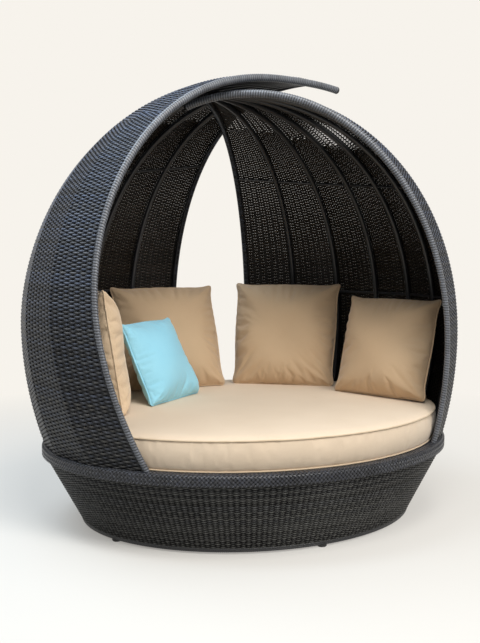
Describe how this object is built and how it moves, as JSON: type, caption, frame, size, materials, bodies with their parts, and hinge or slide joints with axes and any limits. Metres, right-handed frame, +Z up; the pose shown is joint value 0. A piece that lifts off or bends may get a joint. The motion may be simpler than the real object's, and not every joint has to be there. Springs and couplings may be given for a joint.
{
  "type": "outdoor daybed with canopy",
  "caption": "Oval woven outdoor daybed with two overlapping domed canopy shells on curved ribs, a piped mattress, square back pillows and a small throw pillow.",
  "frame": {"origin": "on the floor, in the middle of the centre leg's foot, under the middle of the oval base", "axes": "+Z up, +X along the seat's long side, -Y out of the open front"},
  "size_m": [2.1597, 1.6515, 2.1366],
  "materials": {
    "dark_weave": "flat resin strands, satin",
    "wrapped_tube": "tube wrapped with resin strand, satin",
    "frame_tube": "dark powder coat",
    "deck_board": "matt board",
    "glide_plastic": "moulded, matt",
    "bolt_steel": "zinc plated",
    "mattress_fabric": "plain weave, matt",
    "pillow_fabric": "plain weave, matt",
    "throw_fabric": "plain weave with a faint sheen"
  },
  "bodies": {
    "frame": {"base_rim_band": "dark_weave", "base_rim_ring": "frame_tube", "base_floor_ring": "frame_tube", "base_woven_wall": "dark_weave", "base_post_1": "frame_tube", "base_post_2": "frame_tube", "base_post_3": "frame_tube", "base_post_4": "frame_tube", "base_post_5": "frame_tube", "base_post_6": "frame_tube", "base_post_7": "frame_tube", "base_post_8": "frame_tube", "glide_1": "glide_plastic", "glide_2": "glide_plastic", "glide_3": "glide_plastic", "glide_4": "glide_plastic", "glide_5": "glide_plastic", "seat_deck": "deck_board", "deck_bearer_1": "frame_tube", "deck_bearer_2": "frame_tube", "deck_bearer_3": "frame_tube", "centre_leg": "frame_tube", "left_rim_tube": "wrapped_tube", "left_horn_cap": "wrapped_tube", "left_rib_1": "wrapped_tube", "left_rib_2": "wrapped_tube", "left_rib_3": "wrapped_tube", "left_rib_4": "wrapped_tube", "left_rib_5": "wrapped_tube", "left_rib_6": "wrapped_tube", "left_rib_7": "wrapped_tube", "left_back_edge_tube": "wrapped_tube", "left_upper_hoop": "wrapped_tube", "left_lower_hoop": "wrapped_tube", "left_woven_skin": "dark_weave", "right_rim_tube": "wrapped_tube", "right_horn_cap": "wrapped_tube", "right_rib_1": "wrapped_tube", "right_rib_2": "wrapped_tube", "right_rib_3": "wrapped_tube", "right_rib_4": "wrapped_tube", "right_rib_5": "wrapped_tube", "right_rib_6": "wrapped_tube", "right_rib_7": "wrapped_tube", "right_back_edge_tube": "wrapped_tube", "right_upper_hoop": "wrapped_tube", "right_lower_hoop": "wrapped_tube", "right_woven_skin": "dark_weave", "left_rim_bolt": "bolt_steel", "left_edge_bolt": "bolt_steel", "right_rim_bolt": "bolt_steel", "right_edge_bolt": "bolt_steel"},
    "mattress_body": {"mattress": "mattress_fabric"},
    "far_left_pillow_body": {"pillow_far_left": "pillow_fabric"},
    "back_left_pillow_body": {"pillow_back_left": "pillow_fabric"},
    "back_centre_pillow_body": {"pillow_back_centre": "pillow_fabric"},
    "right_pillow_body": {"pillow_right": "pillow_fabric"},
    "throw_pillow_body": {"throw_pillow": "throw_fabric"}
  },
  "joints": [
    {"name": "mattress_lift", "type": "slide", "parent": "frame", "child": "mattress_body", "axis": [0, 0, 1], "range_m": [0, 0.04]},
    {"name": "far_left_pillow_lift", "type": "slide", "parent": "mattress_body", "child": "far_left_pillow_body", "axis": [-0.1, 0, 0.995], "range_m": [0, 0.1]},
    {"name": "back_left_pillow_lift", "type": "slide", "parent": "mattress_body", "child": "back_left_pillow_body", "axis": [0.12, -0.42, 0.8996], "range_m": [0, 0.1]},
    {"name": "back_centre_pillow_lift", "type": "slide", "parent": "mattress_body", "child": "back_centre_pillow_body", "axis": [-0.25, -0.32, 0.9138], "range_m": [0, 0.1]},
    {"name": "right_pillow_lift", "type": "slide", "parent": "mattress_body", "child": "right_pillow_body", "axis": [-0.3, -0.3, 0.9055], "range_m": [0, 0.1]},
    {"name": "throw_pillow_lift", "type": "slide", "parent": "back_left_pillow_body", "child": "throw_pillow_body", "axis": [0.28, -0.33, 0.9015], "range_m": [0, 0.1]}
  ]
}
